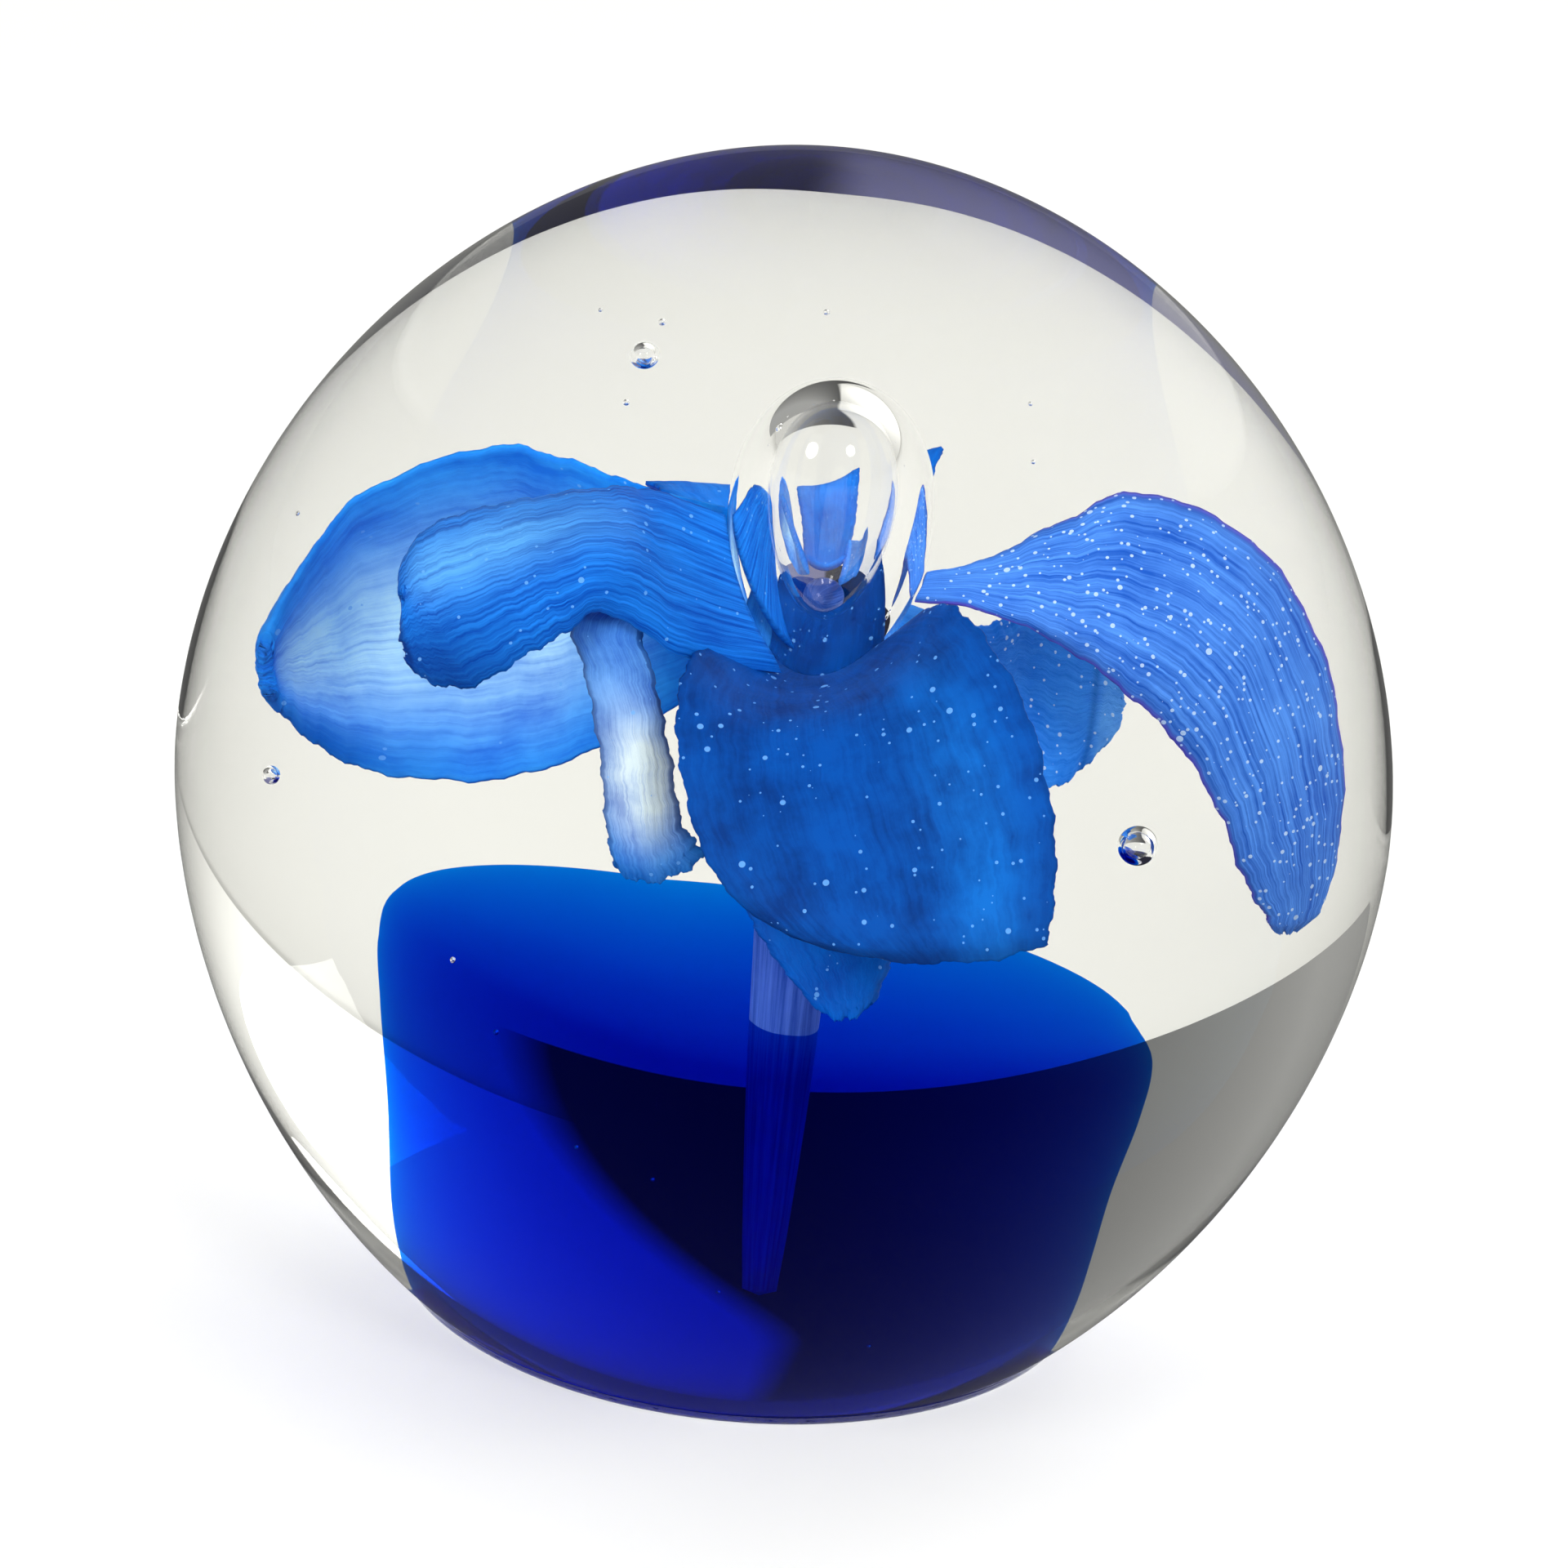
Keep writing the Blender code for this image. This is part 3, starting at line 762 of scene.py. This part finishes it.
def build_stage():
    turns = [2 * math.pi * i / FLOOR_SIDES for i in range(FLOOR_SIDES)]
    ring = [(FLOOR_RADIUS * math.cos(turn), FLOOR_RADIUS * math.sin(turn), -FLOOR_DROP) for turn in turns]
    floor = stage_mesh("floor", ring, [tuple(range(FLOOR_SIDES))])
    material, nodes, links, shader = material_base("floor_paint")
    # Painted shade: the floor's colour as the glass mirrors it, darkened as if flags stood in front.
    mirrored = tuple(c * MIRROR_DIM for c in FLOOR_COLOUR)
    links.new(mix_colour(nodes, links, mirror_ray(nodes, links), FLOOR_COLOUR, mirrored),
              shader.inputs["Base Color"])
    shader.inputs["Roughness"].default_value = 0.8
    floor.data.materials.append(material)


# World light: a direction, how bright it adds or takes there, and how tightly it gathers.
WORLD_LEVEL = 0.80
WORLD_COLOUR = (1.0, 0.995, 0.97)
WORLD_LOBES = [
    ((0.55, 0.78, 0.32), 1.3, 6.0),
    ((0.0, -1.0, 0.30), -0.5, 1.5),
]


def build_world():
    world = bpy.data.worlds.new("studio")
    world.use_nodes = True
    nodes, links = world.node_tree.nodes, world.node_tree.links
    where = nodes.new("ShaderNodeTexCoord")
    total = WORLD_LEVEL
    for direction, amount, power in WORLD_LOBES:
        dot = nodes.new("ShaderNodeVectorMath")
        dot.operation = "DOT_PRODUCT"
        dot.inputs[1].default_value = Vector(direction).normalized()
        links.new(where.outputs["Generated"], dot.inputs[0])
        facing = math_node(nodes, links, "MAXIMUM", dot.outputs["Value"], 0.0)
        lobe = math_node(nodes, links, "POWER", facing, power)
        total = math_node(nodes, links, "MULTIPLY_ADD", lobe, amount, total)
    dim = math_node(nodes, links, "MULTIPLY_ADD", mirror_ray(nodes, links), MIRROR_DIM - 1, 1.0)
    total = math_node(nodes, links, "MULTIPLY", total, dim)
    background = nodes["Background"]
    background.inputs["Color"].default_value = (*WORLD_COLOUR, 1.0)
    links.new(total, background.inputs["Strength"])
    bpy.context.scene.world = world


# Grey card, a glowing sheet of painted shade: where it stands.
CARD_LEFT = -450
CARD_RIGHT = 60
CARD_BACK = 190
CARD_TOP = 600
# It glows more from the middle out to the left.
CARD_SHADES = (0.1, 0.46)
CARD_SHADE_SPAN = -200
# Its soft right edge runs from the first place across to the second as it rises.
CARD_EDGE = (42, -6)
CARD_EDGE_RISE = 75
CARD_EDGE_SHARPNESS = 90.0


def build_card():
    """A glowing grey card behind and to the left, which only the glass bends into view. Its glow is painted
    light and shade: a dim sheet standing in for the shaded back left of the studio.
    """
    corners = [(CARD_LEFT, CARD_BACK, 0), (CARD_RIGHT, CARD_BACK, 0),
               (CARD_RIGHT, CARD_BACK, CARD_TOP), (CARD_LEFT, CARD_BACK, CARD_TOP)]
    card = stage_mesh("shade_glow_card", corners, [(0, 1, 2, 3)])
    only_through_glass(card)
    material, nodes, links, surface, where = stage_material("shade_glow_card")
    shade = ramp(nodes, links, where["X"], 0.0, CARD_SHADE_SPAN * MM, *CARD_SHADES)
    low, high = CARD_EDGE
    edge = ramp(nodes, links, where["Z"], 0.0, CARD_EDGE_RISE * MM, low * MM, high * MM, smooth=True)
    inside = math_node(nodes, links, "SUBTRACT", edge, where["X"])
    cover = math_node(nodes, links, "MULTIPLY", inside, CARD_EDGE_SHARPNESS)
    cover = math_node(nodes, links, "MINIMUM", math_node(nodes, links, "MAXIMUM", cover, 0.0), 1.0)
    glow = nodes.new("ShaderNodeEmission")
    links.new(shade, glow.inputs["Strength"])
    clear = nodes.new("ShaderNodeBsdfTransparent")
    mix = nodes.new("ShaderNodeMixShader")
    links.new(cover, mix.inputs[0])
    links.new(clear.outputs[0], mix.inputs[1])
    links.new(glow.outputs[0], mix.inputs[2])
    links.new(mix.outputs[0], surface)
    card.data.materials.append(material)


# Contact ring: how far it reaches, how high it lies and its colour left and right of the middle.
RING_INNER = 24
RING_OUTER = 45.5
RING_HEIGHT = 0.05
RING_SIDES = 96
RING_COLOURS = ((0.24, 0.24, 0.44), (0.03, 0.03, 0.05))
RING_BLEND = 2


def build_contact_shade():
    """A dim glowing ring that imitates the shadow under the ball's overhang. It shows in the crown."""
    turns = [2 * math.pi * k / RING_SIDES for k in range(RING_SIDES)]
    points = [(reach * math.cos(turn), reach * math.sin(turn), RING_HEIGHT)
              for reach in (RING_INNER, RING_OUTER) for turn in turns]
    faces = []
    for k in range(RING_SIDES):
        following = (k + 1) % RING_SIDES
        faces.append((k, following, RING_SIDES + following, RING_SIDES + k))
    shade = stage_mesh("contact_shade", points, faces)
    only_through_glass(shade)
    material, nodes, links, surface, where = stage_material("contact_shade")
    across = ramp(nodes, links, where["X"], -RING_BLEND * MM, RING_BLEND * MM, smooth=True)
    glow = nodes.new("ShaderNodeEmission")
    links.new(mix_colour(nodes, links, across, *RING_COLOURS), glow.inputs["Color"])
    links.new(glow.outputs[0], surface)
    shade.data.materials.append(material)


# Lamps: name, place, height aimed at, width and watts.
LAMPS = [
    ("key", (350, -750, 620), 30, 250, 4.6),
    ("fill", (-550, -600, 450), 40, 300, 4.0),
    ("window", (750, 600, 750), 40, 450, 2.5),
]


def build_lamps():
    """Soft lamps, which polished glass doesn't mirror."""
    for name, place, aim_height, width, watts in LAMPS:
        data = bpy.data.lights.new(name, "AREA")
        data.shape = "DISK"
        data.size = width * MM
        data.energy = watts
        lamp = bpy.data.objects.new(name, data)
        lamp.location = Vector(place) * MM
        aim = Vector((0, 0, aim_height)) - Vector(place)
        lamp.rotation_euler = aim.to_track_quat("-Z", "Y").to_euler()
        lamp.visible_glossy = False
        bpy.context.scene.collection.objects.link(lamp)


# Camera: degrees above the table and of roll, distance, then shift and lens as Blender takes them.
CAMERA_ELEVATION = 22.0
CAMERA_ROLL = 5.5
CAMERA_DISTANCE = 450.0
CAMERA_SHIFT = -0.0048
CAMERA_LENS = 156.9
SENSOR_WIDTH = 36.0


def build_camera():
    data = bpy.data.cameras.new("camera")
    data.sensor_width = SENSOR_WIDTH
    data.lens = CAMERA_LENS
    data.shift_y = CAMERA_SHIFT
    camera = bpy.data.objects.new("camera", data)
    bpy.context.scene.collection.objects.link(camera)
    rise = math.radians(CAMERA_ELEVATION)
    aim = Vector((0, 0, EQUATOR_HEIGHT * MM))
    camera.location = aim + Vector((0, -math.cos(rise), math.sin(rise))) * CAMERA_DISTANCE * MM
    turn = (aim - camera.location).to_track_quat("-Z", "Y").to_matrix().to_4x4()
    roll = Matrix.Rotation(math.radians(CAMERA_ROLL), 4, "Z")
    camera.matrix_world = Matrix.Translation(camera.location) @ turn @ roll
    bpy.context.scene.camera = camera


build_body()
build_base()
build_flower()
build_stage()
build_card()
build_contact_shade()
build_world()
build_camera()
build_lamps()

scene = bpy.context.scene
scene.view_settings.view_transform = "Standard"
scene.cycles.max_bounces = 20
scene.cycles.transmission_bounces = 20
scene.cycles.transparent_max_bounces = 24
scene.cycles.glossy_bounces = 10
scene.cycles.diffuse_bounces = 4
